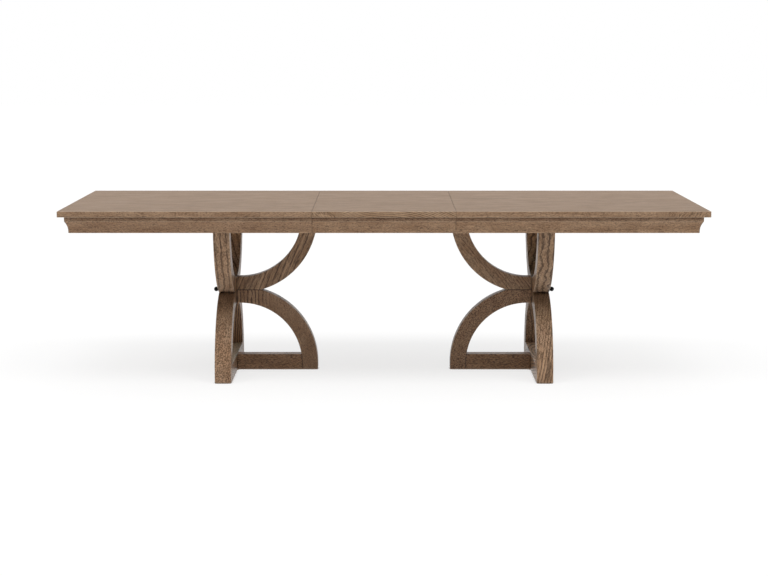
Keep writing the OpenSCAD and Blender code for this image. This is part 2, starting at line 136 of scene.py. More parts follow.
def newGroup(name, inputs, outputs):
    group = bpy.data.node_groups.new(name, "ShaderNodeTree")
    for way, sockets in (("INPUT", inputs), ("OUTPUT", outputs)):
        for socket, kind in sockets.items():
            group.interface.new_socket(name=socket, in_out=way, socket_type="NodeSocket" + kind)
    t = Tree(group)
    return group, t, t.add("NodeGroupInput").outputs


def newMaterial(name):
    material = bpy.data.materials.new(name)
    material.use_nodes = True
    material.node_tree.nodes.clear()
    return material, Tree(material.node_tree)


def makeWorld(settings):
    world = bpy.data.worlds.new("studio")
    bpy.context.scene.world = world
    world.use_nodes = True
    world.node_tree.nodes.clear()
    t = Tree(world.node_tree)
    rays = t.add("ShaderNodeLightPath").outputs
    direction = t.add("ShaderNodeTexCoord").outputs["Generated"]
    upward = t.math("MAXIMUM", t.add("ShaderNodeSeparateXYZ", {0: direction}).outputs["Z"], 0.0)
    dome = t.math("MULTIPLY", t.math("MULTIPLY", upward, upward), settings["zenith"])
    level = t.mix(rays["Is Glossy Ray"], dome, settings["glossy"], "FLOAT")
    strength = t.mix(rays["Is Camera Ray"], level, settings["camera"], "FLOAT")
    background = t.add("ShaderNodeBackground", {"Color": (1.0, 1.0, 1.0), "Strength": strength})
    t.add("ShaderNodeOutputWorld", {"Surface": background.outputs[0]})


makeWorld(domeSettings)

# The floor: white paper, whose shadow is softened for the camera alone
floorSettings = {"half": 30.0, "albedo": (0.8, 0.8, 0.8), "seenAlbedo": (0.86, 0.86, 0.86),
                 "shadeShare": 0.27, "seenGlow": 1.040, "glossy": 1.0,
                 "paintedGapShadow": (0.13, 0.08, 0.05), "reach": 0.02, "closed": 0.40, "open": 0.60, "rays": 8}


def makeFloor(settings):
    bm = bmesh.new()
    bmesh.ops.create_grid(bm, x_segments=1, y_segments=1, size=settings["half"])
    mesh = bpy.data.meshes.new("floor")
    bm.to_mesh(mesh)
    bm.free()
    floor = bpy.data.objects.new("floor", mesh)
    bpy.context.scene.collection.objects.link(floor)
    material, t = newMaterial("floorPaper")
    white = (1.0, 1.0, 1.0)
    rays = t.add("ShaderNodeLightPath").outputs
    bounced = t.add("ShaderNodeBsdfDiffuse", {"Color": settings["albedo"]})
    shaded = t.add("ShaderNodeBsdfDiffuse", {"Color": settings["seenAlbedo"]})
    glow = t.add("ShaderNodeEmission", {"Color": white, "Strength": settings["seenGlow"]})
    seen = t.add("ShaderNodeMixShader", {0: settings["shadeShare"], 1: glow.outputs[0], 2: shaded.outputs[0]})
    # The gap under a foot, as high as its glide, is painted dark: where ambient occlusion finds the floor closed
    # in, a dim brown glow stands in for the gap's shadow
    paintedGapShadow = t.add("ShaderNodeEmission", {"Color": settings["paintedGapShadow"], "Strength": 1.0})
    around = t.add("ShaderNodeAmbientOcclusion", {"Distance": settings["reach"]}, samples=settings["rays"])
    openness = t.remap(around.outputs["AO"], settings["closed"], settings["open"])
    seen = t.add("ShaderNodeMixShader", {0: openness, 1: paintedGapShadow.outputs[0], 2: seen.outputs[0]})
    mirrored = t.add("ShaderNodeEmission", {"Color": white, "Strength": settings["glossy"]})
    unseen = t.add("ShaderNodeMixShader",
                   {0: rays["Is Glossy Ray"], 1: bounced.outputs[0], 2: mirrored.outputs[0]})
    surface = t.add("ShaderNodeMixShader",
                    {0: rays["Is Camera Ray"], 1: unseen.outputs[0], 2: seen.outputs[0]})
    t.add("ShaderNodeOutputMaterial", {"Surface": surface.outputs[0]})
    mesh.materials.append(material)


makeFloor(floorSettings)
print("made the camera, light, world and floor")

# Wood: the sockets of its figure, then the scale of each part of it, in strokes a metre along the grain and
# across it, with the values between which it fades in
woodSockets = {"Vector": "Vector", "Stretch": "Vector", "Ring": "Float", "Early": "Float", "Warp": "Float",
               "Wave": "Float", "RingDark": "Float", "RingLeast": "Float", "DashDark": "Float",
               "PoreDark": "Float", "Matt": "Float", "Pale": "Color", "Deep": "Color", "Dark": "Color",
               "Tint": "Vector", "Grain": "Vector", "EndTint": "Float"}
figureSettings = {"slow": (1.6, 9.0, 9.0), "quick": (16.0, 22.0, 22.0), "breaks": (22.0, 170.0, 170.0),
                  "vessels": (55.0, 1250.0, 1250.0), "hairs": (110.0, 4200.0, 4200.0),
                  "clouds": (7.0, 22.0, 22.0), "fibres": (22.0, 520.0, 520.0),
                  "earlyFull": 0.4, "lateEnd": 0.93, "ringSpread": (0.1, 0.7), "breakSpread": (0.36, 0.54),
                  "breakLeast": 0.45, "groupSpread": (0.40, 0.61), "overlap": 0.3, "sparse": 0.68,
                  "crowded": 0.43, "vesselEdge": 0.035, "hairSpread": (0.34, 0.52), "hairLeast": 0.50,
                  "cloudSpread": (0.36, 0.64), "wholeSpread": (0.3, 0.7), "dense": 0.48,
                  "fibreTone": (0.90, 1.10), "vesselRough": 0.10, "cloudRough": 0.04,
                  "vesselDepth": -0.7, "denseDepth": -0.3, "endSpread": (0.55, 1.0)}


def makeWoodGroup(settings):
    outputs = {"Color": "Color", "Roughness": "Float", "Height": "Float"}
    group, t, given = newGroup("woodFigure", woodSockets, outputs)
    vector = given["Vector"]
    # Growth rings about the pith, which runs along X, wavering along the board
    middle = (0.5, 0.5, 0.5)
    slow = t.vector("SUBTRACT", t.noise(vector, settings["slow"], output="Color"), middle)
    quick = t.vector("SUBTRACT", t.noise(vector, settings["quick"], output="Color"), middle)
    shift = t.vector("ADD", t.scaled(slow, given["Warp"]), t.scaled(quick, given["Wave"]))
    warped = t.vector("ADD", vector, shift)
    radius = t.vector("LENGTH", t.vector("MULTIPLY", warped, (0.0, 1.0, 1.0)))
    phase = t.math("DIVIDE", radius, given["Ring"])
    within = t.math("FRACT", phase)
    solid = t.math("MULTIPLY", given["Early"], settings["earlyFull"])
    early = t.math("SUBTRACT", 1.0, t.remap(within, solid, given["Early"], smooth=True))
    early = t.math("MAXIMUM", t.remap(within, settings["lateEnd"], 1.0, smooth=True), early)
    number = t.math("FLOOR", phase)
    ringNoise = t.add("ShaderNodeTexWhiteNoise", {"W": number}, noise_dimensions="1D").outputs["Value"]
    early = t.math("MULTIPLY", early, t.remap(ringNoise, *settings["ringSpread"], given["RingLeast"], 1.0))
    broken = t.noise(vector, settings["breaks"])
    broken = t.remap(broken, *settings["breakSpread"], settings["breakLeast"], 1.0, smooth=True)
    ringed = t.math("MULTIPLY", t.math("MULTIPLY", early, broken), given["RingDark"])
    # Open vessels: fine dark lines that stand in groups, and closer together in the early wood
    grouped = t.remap(t.noise(vector, given["Stretch"], 3.0, 0.6), *settings["groupSpread"], smooth=True)
    grouped = t.math("MULTIPLY", grouped, given["DashDark"])
    density = t.math("MAXIMUM", ringed, grouped)
    density = t.math("MULTIPLY_ADD", t.math("MINIMUM", ringed, grouped), settings["overlap"], density)
    fine = t.noise(vector, settings["vessels"], 1.0)
    limit = t.remap(density, 0.0, 1.0, settings["sparse"], settings["crowded"])
    edge = settings["vesselEdge"]
    vessel = t.remap(t.math("SUBTRACT", fine, limit), -edge, edge, smooth=True)
    vessel = t.math("MULTIPLY", vessel, given["PoreDark"])
    # Each dark line is a bundle of hair-fine ones
    hair = t.noise(vector, settings["hairs"], 1.0)
    hair = t.remap(hair, *settings["hairSpread"], settings["hairLeast"], 1.0, smooth=True)
    vessel = t.math("MULTIPLY", vessel, hair)
    cloud = t.noise(vector, settings["clouds"], 3.0, 0.6)
    base = t.mix(t.remap(cloud, *settings["cloudSpread"], smooth=True), given["Pale"], given["Deep"])
    base = t.scaled(base, t.remap(density, 0.0, 1.0, 1.0, settings["dense"]))
    fibre = t.noise(vector, settings["fibres"], 2.0)
    base = t.scaled(base, t.remap(fibre, *settings["wholeSpread"], *settings["fibreTone"]))
    color = t.mix(vessel, base, given["Dark"])
    uneven = t.remap(cloud, *settings["wholeSpread"], -settings["cloudRough"], settings["cloudRough"])
    rough = t.math("MULTIPLY_ADD", vessel, settings["vesselRough"], t.math("ADD", uneven, given["Matt"]))
    height = t.math("MULTIPLY", density, settings["denseDepth"])
    height = t.math("MULTIPLY_ADD", vessel, settings["vesselDepth"], height)
    # Stain soaks into end grain
    normal = t.add("ShaderNodeTexCoord").outputs["Normal"]
    endness = t.math("ABSOLUTE", t.vector("DOT_PRODUCT", normal, given["Grain"]))
    ends = t.remap(endness, *settings["endSpread"], 1.0, given["EndTint"], smooth=True)
    color = t.vector("MULTIPLY", color, t.scaled(given["Tint"], ends))
    t.add("NodeGroupOutput", {"Color": color, "Roughness": rough, "Height": height})
    return group


def makeWearGroup():
    # Edges are rubbed to another tone, less so in the hollows, and glaze gathers in the joints
    inputs = {"Color": "Color", "Height": "Float", "Worn": "Color", "Rub": "Float", "JointDark": "Float",
              "Glaze": "Color"}
    group, t, given = newGroup("edgeWear", inputs, {"Color": "Color"})
    hollow = -0.8
    wear = t.add("ShaderNodeAttribute", attribute_name="wear").outputs["Fac"]
    rubbed = t.math("MULTIPLY", t.math("MAXIMUM", wear, 0.0), t.remap(given["Height"], hollow, 0.0))
    color = t.mix(t.math("MULTIPLY", rubbed, given["Rub"]), given["Color"], given["Worn"])
    joined = t.math("MAXIMUM", t.math("MULTIPLY", wear, -1.0), 0.0)
    color = t.mix(t.math("MULTIPLY", joined, given["JointDark"]), color, given["Glaze"])
    t.add("NodeGroupOutput", {"Color": color})
    return group


woodGroup = makeWoodGroup(figureSettings)
wearGroup = makeWearGroup()
oakDefaults = {"grain": (1.0, 0.0, 0.0), "pith": (0.0, 0.1, 0.6), "Stretch": (65.0, 220.0, 220.0),
               "Ring": 0.012, "Early": 0.45, "Warp": 0.012, "Wave": 0.004, "RingDark": 0.4, "RingLeast": 0.3,
               "DashDark": 0.7, "PoreDark": 0.95, "Matt": 0.36, "Pale": (0.465, 0.297, 0.185),
               "Deep": (0.364, 0.218, 0.128), "Dark": (0.050, 0.027, 0.015), "tint": (1.0, 1.0, 1.0),
               "endTint": 0.8, "bump": 0.4, "bumpDepth": 0.0006, "IOR": 1.33, "jointDark": 0.8,
               "glaze": (0.030, 0.017, 0.010), "worn": (0.56, 0.40, 0.27), "rub": 0.6}


def grainMapping(t, settings):
    # Turns the piece's place into distances from its pith: X along the grain, Y and Z across it. A bend is
    # that of the trunk: the middle of its arc and the arc's radius.
    grain = Vector(settings["grain"]).normalized()
    side = grain.orthogonal().normalized()
    turned = Matrix((grain, side, grain.cross(side)))
    place = -(turned @ Vector(settings["pith"]))
    place.x += settings.get("seed", 0.0)
    point = t.add("ShaderNodeTexCoord").outputs["Object"]
    if "bend" in settings:
        middle, radius = settings["bend"]
        offset = t.math("SUBTRACT", t.add("ShaderNodeSeparateXYZ", {0: point}).outputs["X"], middle)
        sag = t.math("DIVIDE", t.math("MULTIPLY", offset, offset), 2.0 * radius)
        point = t.vector("ADD", point, t.add("ShaderNodeCombineXYZ", {"Z": sag}).outputs[0])
    inputs = {"Vector": point, "Location": place, "Rotation": turned.to_euler()}
    return t.add("ShaderNodeMapping", inputs, vector_type="POINT").outputs[0]


faceSpread = (0.4, 0.9)  # the normal's height, from where a face begins to count as level to where it does fully


def boardFactor(t, where):
    # 1 where the other board or the other figure of the same piece shows: past a place on an axis (before
    # it, where the blend is below 0), and only on the upright, level or under faces where those are named
    axis, start, blend, faces = where
    factor = 1.0
    if axis:
        point = t.add("ShaderNodeTexCoord").outputs["Object"]
        along = t.add("ShaderNodeSeparateXYZ", {0: point}).outputs[axis]
        factor = t.remap(along, start - blend / 2, start + blend / 2, smooth=True)
    if faces:
        normal = t.add("ShaderNodeTexCoord").outputs["Normal"]
        height = t.add("ShaderNodeSeparateXYZ", {0: normal}).outputs["Z"]
        if faces == "upright":
            height = t.math("ABSOLUTE", height)
        elif faces == "under":
            height = t.math("MULTIPLY", height, -1.0)
        level = t.remap(height, *faceSpread, smooth=True)
        factor = t.math("MULTIPLY", factor, t.math("SUBTRACT", 1.0, level) if faces == "upright" else level)
    return factor


plankSettings = {"shift": (5.0, 0.12, 0.10), "tone": (0.965, 1.035)}


def plankShift(t, vector, width, settings):
    # Breaks the figure into planks across Y, each with its own shift and a faint tone
    point = t.add("ShaderNodeTexCoord").outputs["Object"]
    across = t.add("ShaderNodeSeparateXYZ", {0: point}).outputs["Y"]
    index = t.math("FLOOR", t.math("DIVIDE", across, width))
    noise = t.add("ShaderNodeTexWhiteNoise", {"W": index}, noise_dimensions="1D").outputs
    moved = t.vector("MULTIPLY_ADD", noise["Color"], settings["shift"], vector)
    return moved, t.remap(noise["Value"], 0.0, 1.0, *settings["tone"])


def makeWood(name, settings):
    base = {**oakDefaults, **settings}
    material, t = newMaterial(name)
    values = {key: base[key] for key in (*woodSockets, "tint") if key in base}
    values["Vector"] = grainMapping(t, base)
    for other in settings.get("others", ()):
        factor = boardFactor(t, other["where"])
        changed = {**base, **other}
        if "grain" in other or "pith" in other:
            values["Vector"] = t.mix(factor, values["Vector"], grainMapping(t, changed), "VECTOR")
        for key, value in other.items():
            kind = "FLOAT" if isinstance(value, float) else "VECTOR"
            if key in values:
                values[key] = t.mix(factor, values[key], value, kind)
    values["Tint"] = values.pop("tint")
    if "planks" in settings:
        values["Vector"], tone = plankShift(t, values["Vector"], settings["planks"], plankSettings)
        values["Tint"] = t.scaled(values["Tint"], tone)
    values["Grain"] = Vector(base["grain"]).normalized()
    values["EndTint"] = base["endTint"]
    figure = t.add("ShaderNodeGroup", values, node_tree=woodGroup).outputs
    inputs = {"Color": figure["Color"], "Height": figure["Height"], "Worn": base["worn"], "Rub": base["rub"],
              "JointDark": base["jointDark"], "Glaze": base["glaze"]}
    color = t.add("ShaderNodeGroup", inputs, node_tree=wearGroup).outputs[0]
    inputs = {"Strength": base["bump"], "Distance": base["bumpDepth"], "Height": figure["Height"]}
    bump = t.add("ShaderNodeBump", inputs)
    inputs = {"Base Color": color, "Roughness": figure["Roughness"], "Normal": bump.outputs[0],
              "IOR": base["IOR"]}
    shader = t.add("ShaderNodeBsdfPrincipled", inputs)
    t.add("ShaderNodeOutputMaterial", {"Surface": shader.outputs[0]})
    return material


def addPiece(name, bm, body):
    mesh = bpy.data.meshes.new(name)
    bm.to_mesh(mesh)
    bm.free()
    piece = bpy.data.objects.new(name, mesh)
    bpy.context.scene.collection.objects.link(piece)
    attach(piece, body)
    return piece


surfaces, boxes = {}, {}
for node, obj in nodes.items():
    polygons = [tuple(p.vertices) for p in obj.data.polygons]
    surfaces[node] = BVHTree.FromPolygons([v.co.copy() for v in obj.data.vertices], polygons)
    boxes[node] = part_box(node)


def neighbours(node, reach):
    low, high = boxes[node]
    near = []
    for name, (start, end) in boxes.items():
        if name != node and all(start[i] < high[i] + reach and end[i] > low[i] - reach for i in range(3)):
            near.append(surfaces[name])
    return near


# Angles in degrees, lengths in metres
copySettings = {"merge": 1e-6, "flat": 0.4, "sharp": 30.0, "reach": 0.0015, "step": 0.008, "posture": 0.9,
                "topDepth": 1e-5, "smooth": 40.0}


def easedCopy(node, ease, wears, clamp=False):
    # A copy of a CAD node's mesh, its flats merged and its sharp edges eased. Each eased face gets the wear
    # of its edge's kind: below 0 in a joint, which is "post" where it stands, and above 0 where it is rubbed.
    flat, sharpest = math.radians(copySettings["flat"]), math.radians(copySettings["sharp"])
    reach = copySettings["reach"]
    bm = bmesh.new()
    bm.from_mesh(nodes[node].data)
    wear = bm.faces.layers.float.new("wear")
    bmesh.ops.remove_doubles(bm, verts=bm.verts, dist=copySettings["merge"])
    bmesh.ops.dissolve_limit(bm, angle_limit=flat, verts=bm.verts, edges=bm.edges)
    sharp = [e for e in bm.edges if len(e.link_faces) == 2 and e.calc_face_angle(0.0) > sharpest]
    others = neighbours(node, reach) if "joint" in wears else []
    top = boxes[node][1][2] - copySettings["topDepth"]
    marks = []
    for edge in sharp:
        start, end = (v.co for v in edge.verts)
        length = (end - start).length
        near = [any(o.find_nearest(p, reach)[0] for o in others) for p in ((start + end) / 2, start, end)]
        if near[0] and sum(near) > 1:
            isPost = "post" in wears and abs(end.z - start.z) > copySettings["posture"] * length
            value = wears["post" if isPost else "joint"]
        else:
            value = wears["upper" if "upper" in wears and min(start.z, end.z) > top else "free"]
        steps = max(1, round(length / copySettings["step"]))
        marks += [(start.lerp(end, (i + 0.5) / steps), value) for i in range(steps)]
    made = bmesh.ops.bevel(bm, geom=sharp, offset=ease, offset_type="OFFSET", segments=2, profile=0.5,
                           affect="EDGES", clamp_overlap=clamp, material=-1)
    places = KDTree(len(marks))
    for number, (place, value) in enumerate(marks):
        places.insert(place, number)
    places.balance()
    for face in made["faces"]:
        face[wear] = marks[places.find(face.calc_center_median())[1]][1]
    return bm


def smoothed(piece):
    piece.data.shade_smooth()
    piece.data.set_sharp_from_angle(angle=math.radians(copySettings["smooth"]))
    weighted = piece.modifiers.new("flatNormals", "WEIGHTED_NORMAL")
    weighted.keep_sharp = True
    return piece


# Oak: figures that several pieces share. An entry of "others" changes the figure where its "where" says.
upright = (0.0, 0.0, 1.0)
levelFaces = {"where": (None, 0.0, 0.0, "level")}
underFaces = {"where": (None, 0.0, 0.0, "under")}
# Level faces tinted lighter and greyer: a painted sheen, standing in for the grazing reflection on up-facing
# faces
paintedLevelSheen = {**levelFaces, "tint": (1.6, 2.1, 2.4)}
edgeFigure = {"where": (None, 0.0, 0.0, "upright"), "DashDark": 0.55, "RingDark": 0.4,
              "Stretch": (130.0, 300.0, 300.0), "Pale": oakDefaults["Pale"], "Deep": oakDefaults["Deep"],
              "Dark": oakDefaults["Dark"], "Matt": 0.38, "PoreDark": 0.8}
# The top's Pale, Deep and Dark are darker than its edge's: painted shade, set against the stronger light on the
# level top
topFigure = {"Stretch": (14.0, 150.0, 150.0), "Ring": 0.009, "Warp": 0.03, "RingDark": 0.45, "DashDark": 0.35,
             "Pale": (0.280, 0.184, 0.117), "Deep": (0.253, 0.167, 0.105), "Dark": (0.12, 0.072, 0.042),
             "bump": 0.25, "planks": 0.127, "jointDark": 0.42, "Matt": 0.55, "PoreDark": 0.5,
             "worn": (0.74, 0.59, 0.46)}
steep = {"DashDark": 0.7, "RingDark": 0.3, "Stretch": (60.0, 260.0, 260.0)}
# On the aprons the band under the top is painted 6% lighter (painted light), and its top strip, under the top's
# overhang, is painted darker (a painted shadow)
paintedBandLight = {"where": ("Z", 0.7150, 0.001, None), "tint": (1.06, 1.06, 1.06)}
paintedOverhangShade = {"where": ("Z", 0.7265, 0.012, None), "tint": (0.72, 0.70, 0.67)}
apronFigure = {"Ring": 0.011, "RingDark": 0.2, "DashDark": 0.52, "Stretch": (140.0, 280.0, 280.0),
               "others": [paintedBandLight, paintedOverhangShade], "jointDark": 0.5}
speckle = {"RingDark": 0.15, "DashDark": 0.85, "Stretch": (120.0, 250.0, 250.0)}
spurFootFigure = {"RingDark": 0.15, "Stretch": (90.0, 250.0, 250.0)}

# Each oak piece: the grain's direction, a point on the pith, how strongly the figure shows, and its tint
oakPieces = {
    "left_arch_upper": {"grain": upright, "pith": (-1.9, -0.3, 0.5), "Ring": 0.024, "RingDark": 1.15,
                        "DashDark": 0.7, "Stretch": (30.0, 220.0, 220.0), "Wave": 0.016, "endTint": 1.0,
                        "RingLeast": 0.7, "Early": 0.34, "tint": (1.19, 1.18, 1.14),
                        # Level faces tinted lighter and greyer as a painted sheen, and under faces as painted
                        # bounce light from the floor
                        "others": [{**levelFaces, "tint": (1.05, 1.22, 1.50)},
                                   {**underFaces, "tint": (1.34, 1.42, 1.52)}]},
    "left_arch_lower": {"grain": (0.05, 0.5, 1.0), "pith": (-1.9, 0.2, 0.2), "RingDark": 0.15,
                        "DashDark": 1.0, "Stretch": (130.0, 320.0, 320.0), "tint": (1.13, 1.11, 1.08),
                        # Level faces tinted lighter and greyer: a painted sheen
                        "others": [{**levelFaces, "tint": (1.22, 1.26, 1.28)},
                                   {"where": ("Y", 0.0, 0.001, None), "grain": upright,
                                    "pith": (-1.9, 0.0, 0.2), "Ring": 0.011, "RingDark": 1.5, "Wave": 0.012,
                                    "DashDark": 0.2, "RingLeast": 1.0, "Early": 0.5,
                                    "tint": (1.2, 1.15, 1.1)}]},
    "left_arch_foot": {"grain": (0.0, 1.0, 0.0), "pith": (-0.9, 0.0, 0.0), **speckle, "others": [paintedLevelSheen]},
    "left_spur_upper": {"grain": (0.42, 0.0, 1.0), "pith": (0.5, -0.3, 0.15), "Ring": 0.021, "RingDark": 1.0,
                        "Stretch": (18.0, 200.0, 200.0), "Wave": 0.006, "DashDark": 0.6, "RingLeast": 0.6,
                        "Early": 0.35, "tint": (1.15, 1.16, 1.14)},
    "left_spur_lower": {"grain": (-0.05, 0.15, 1.0), "pith": (-1.6, 0.06, 0.3), "Ring": 0.016, "Wave": 0.020,
                        "RingDark": 1.3, "DashDark": 0.3, "RingLeast": 0.9, "tint": (1.08, 1.06, 1.03),
                        "others": [{"where": ("X", -0.54, 0.16, None), "RingDark": 0.12, "DashDark": 0.5,
                                    "Stretch": (120.0, 300.0, 300.0), "tint": (1.0, 0.98, 0.95)}]},
    "left_spur_foot": {"pith": (-0.5, 0.3, 0.2), **spurFootFigure, "DashDark": 0.7,
                       "tint": (1.05, 0.98, 0.89)},
    "right_arch_upper": {"grain": upright, "pith": (1.9, -0.22, 0.5), "Ring": 0.026, "Wave": 0.040,
                         "Early": 0.42, "RingDark": 1.2, "DashDark": 0.6, "Stretch": (30.0, 220.0, 220.0),
                         "endTint": 1.0, "RingLeast": 0.9, "tint": (1.12, 1.12, 1.08),
                         # Level faces tinted lighter and greyer as a painted sheen, and under faces as painted
                         # bounce light from the floor
                         "others": [{**levelFaces, "tint": (1.03, 1.36, 1.60)},
                                    {**underFaces, "tint": (1.17, 1.27, 1.38)}]},
    "right_arch_lower": {"grain": (0.17, 0.08, 1.0), "pith": (1.9, -0.3, -0.2), "Ring": 0.013,
                         "RingDark": 1.2, "Warp": 0.024, "Wave": 0.002, "Stretch": (6.0, 260.0, 260.0),
                         "DashDark": 0.8, "RingLeast": 0.3, "tint": (1.19, 1.20, 1.19),
                         # Level faces tinted lighter and greyer: a painted sheen
                         "others": [{**levelFaces, "tint": (1.44, 1.52, 1.56)}]},
    "right_arch_foot": {"grain": (0.0, 1.0, -0.2), "pith": (0.70, 0.02, 0.07), "Ring": 0.013, "RingDark": 0.9,
                        "Warp": 0.006, "DashDark": 0.3, "RingLeast": 0.8,
                        # Level faces tinted lighter and greyer: a painted sheen
                        "others": [{**levelFaces, "tint": (1.9, 2.3, 2.75)}]},
    "right_spur_upper": {"grain": (-0.7, 0.1, 1.0), "pith": (0.0, 0.4, 0.0), "Ring": 0.011, "RingDark": 0.6,
                         "Stretch": (50.0, 260.0, 260.0), "DashDark": 0.55, "tint": (1.04, 1.04, 1.01)},
    "right_spur_lower": {"grain": (0.5, 0.6, 1.0), "pith": (0.0, 0.3, 0.3), **speckle,
                         "tint": (1.0, 0.96, 0.91)},
    "right_spur_foot": {"pith": (0.5, 0.3, 0.2), **spurFootFigure, "DashDark": 0.8,
                        "tint": (1.0, 0.93, 0.84)},
    "left_top": {"grain": (1.0, 0.004, 0.0), "pith": (0.0, -0.2, 0.45), **topFigure,
                 "others": [{**edgeFigure, "tint": (0.91, 0.91, 0.89)}]},
    "leaf_top": {"grain": (1.0, 0.01, 0.02), "pith": (0.4, -0.35, 0.62), "seed": 3.0, **topFigure,
                 "others": [{**edgeFigure, "grain": (1.0, 0.1, 0.0), "pith": (0.0, -0.47, 0.60),
                             "bend": (0.02, 0.62), "Ring": 0.0075, "Warp": 0.03, "Wave": 0.001,
                             "RingDark": 1.3, "RingLeast": 1.0, "DashDark": 0.12,
                             "Stretch": (20.0, 300.0, 300.0), "tint": (1.02, 1.05, 1.03)},
                            {"where": ("X", -0.19, -0.03, "upright"), "grain": (1.0, 0.1, -0.9), **steep},
                            {"where": ("Y", 0.0, 0.001, "upright"), "RingDark": 0.5, "DashDark": 0.6}]},
    "right_top": {"grain": (1.0, -0.006, 0.0), "pith": (0.0, 0.1, 0.43), "seed": 7.0, **topFigure,
                  "others": [{**edgeFigure, "tint": (0.96, 0.97, 0.95)},
                             {"where": ("X", 1.17, 0.05, "upright"), "grain": (1.0, 0.1, 1.0), **steep}]},
    "left_apron_front": {"pith": (0.0, -0.8, 0.40), **apronFigure, "tint": (0.98, 0.94, 0.89)},
    "left_apron_back": {"pith": (0.0, 0.8, 0.40), "seed": 2.0, **apronFigure},
    "left_apron_end": {"grain": (0.0, 1.0, 0.0), "pith": (-1.6, 0.0, 0.40), **apronFigure},
    "right_apron_front": {"pith": (0.0, -0.8, 0.36), "seed": 4.0, **apronFigure, "tint": (1.13, 1.12, 1.07)},
    "right_apron_back": {"pith": (0.0, 0.8, 0.38), "seed": 5.0, **apronFigure},
    "right_apron_end": {"grain": (0.0, 1.0, 0.0), "pith": (1.6, 0.0, 0.38), **apronFigure},
    "leaf_apron_front": {"pith": (0.0, -0.8, 0.38), "seed": 6.0, **apronFigure, "tint": (1.09, 1.07, 1.02)},
    "leaf_apron_back": {"pith": (0.0, 0.8, 0.36), "seed": 8.0, **apronFigure},
}

# How far each kind of piece's edges are eased, and the wear that they get
easeSettings = {
    # On the top, the upper arris is painted lighter with the worn tone: partly rubbed wear, partly a painted
    # highlight along the edge
    "top": (0.0012, {"post": -0.25, "joint": -1.0, "upper": 0.75, "free": 1.0}),
    "apron": (0.0014, {"post": -0.3, "joint": -1.0, "free": 1.0}),
    "foot": (0.0018, {"joint": -0.55, "free": 1.0}),
    "arc": (0.0020, {"joint": -1.0, "free": 1.0}),
    "inner": (0.0010, {"joint": -1.0, "free": 1.0}),
    "fitting": (0.0003, {"free": 1.0}),
}


def easeFor(node):
    return easeSettings[next((kind for kind in ("top", "apron", "foot") if kind in node), "arc")]


for node, settings in oakPieces.items():
    piece = smoothed(addPiece("wood_" + node, easedCopy(node, *easeFor(node)), bodyOf[node]))
    piece.data.materials.clear()
    piece.data.materials.append(makeWood("oak_" + node, settings))
    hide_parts(node)
print("made the oak pieces:", len(oakPieces))


# Inner pieces of beech, straight-grained with short dark flecks: the grain and a point on the pith of each
beech = {"Pale": (0.56, 0.40, 0.255), "Deep": (0.47, 0.325, 0.20), "Dark": (0.25, 0.145, 0.08),
         "Stretch": (70.0, 420.0, 420.0), "Ring": 0.006, "RingDark": 0.22, "DashDark": 0.4, "PoreDark": 0.55,
         "Matt": 0.5, "bump": 0.2, "jointDark": 0.35, "glaze": (0.12, 0.07, 0.04),
         "worn": (0.62, 0.46, 0.31), "rub": 0.4}
seedStep = 1.7
along, across = (1.0, 0.0, 0.0), (0.0, 1.0, 0.0)
beechPieces = {
    "left_outer_cleat": (across, (-0.62, 0.0, 0.9)), "right_outer_cleat": (across, (0.66, 0.0, 0.92)),
    "left_inner_cleat": (across, (-0.42, 0.0, 0.5)), "right_inner_cleat": (across, (0.38, 0.0, 0.52)),
    "rail_front": (along, (0.0, -0.30, 0.6)), "rail_back": (along, (0.0, 0.34, 0.62)),
    "gear_bridge": (across, (0.05, 0.0, 0.9)),
    "left_runner_front": (along, (0.0, -0.1, 0.58)), "left_runner_back": (along, (0.0, 0.36, 0.85)),
    "right_runner_front": (along, (0.0, -0.36, 0.56)), "right_runner_back": (along, (0.0, 0.12, 0.86)),
    "left_rack": (along, (0.0, 0.2, 0.6)), "right_rack": (along, (0.0, -0.2, 0.6)),
    "left_corner_blocks": (upright, (-1.5, 0.0, 0.7)), "right_corner_blocks": (upright, (1.5, 0.1, 0.7)),
    "leaf_battens": (across, (0.06, 0.0, 0.6)),
}
for number, (node, (grain, pith)) in enumerate(beechPieces.items()):
    settings = {**beech, "grain": grain, "pith": pith, "seed": number * seedStep}
    bm = easedCopy(node, *easeSettings["inner"], clamp=True)
    piece = smoothed(addPiece("beech_" + node, bm, bodyOf[node]))
    piece.data.materials.clear()
    piece.data.materials.append(makeWood("beech_" + node, settings))
    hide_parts(node)
print("made the inner wood:", len(beechPieces))

# Metal and nylon: a cloudy tone, fine grain in the roughness and the surface, and rubbed edges
cloudSockets = {"Broad": "Vector", "Fine": "Vector", "Dark": "Color", "Light": "Color", "Smoothest": "Float",
                "Roughest": "Float"}
cloudSettings = {"fineShare": 0.5, "toneSpread": (0.38, 0.62), "roughSpread": (0.3, 0.7)}


def makeCloudGroup(settings):
    outputs = {"Color": "Color", "Roughness": "Float", "Height": "Float"}
    group, t, given = newGroup("cloudyTone", cloudSockets, outputs)
    share = settings["fineShare"]
    point = t.add("ShaderNodeTexCoord").outputs["Object"]
    broad = t.noise(point, given["Broad"], 3.0)
    fine = t.noise(point, given["Fine"], 2.0)
    spread = t.math("MULTIPLY_ADD", fine, share, t.math("MULTIPLY", broad, 1.0 - share))
    color = t.mix(t.remap(spread, *settings["toneSpread"], smooth=True), given["Dark"], given["Light"])
    rough = t.remap(spread, *settings["roughSpread"], given["Smoothest"], given["Roughest"])
    t.add("NodeGroupOutput", {"Color": color, "Roughness": rough, "Height": fine})
    return group


cloudGroup = makeCloudGroup(cloudSettings)


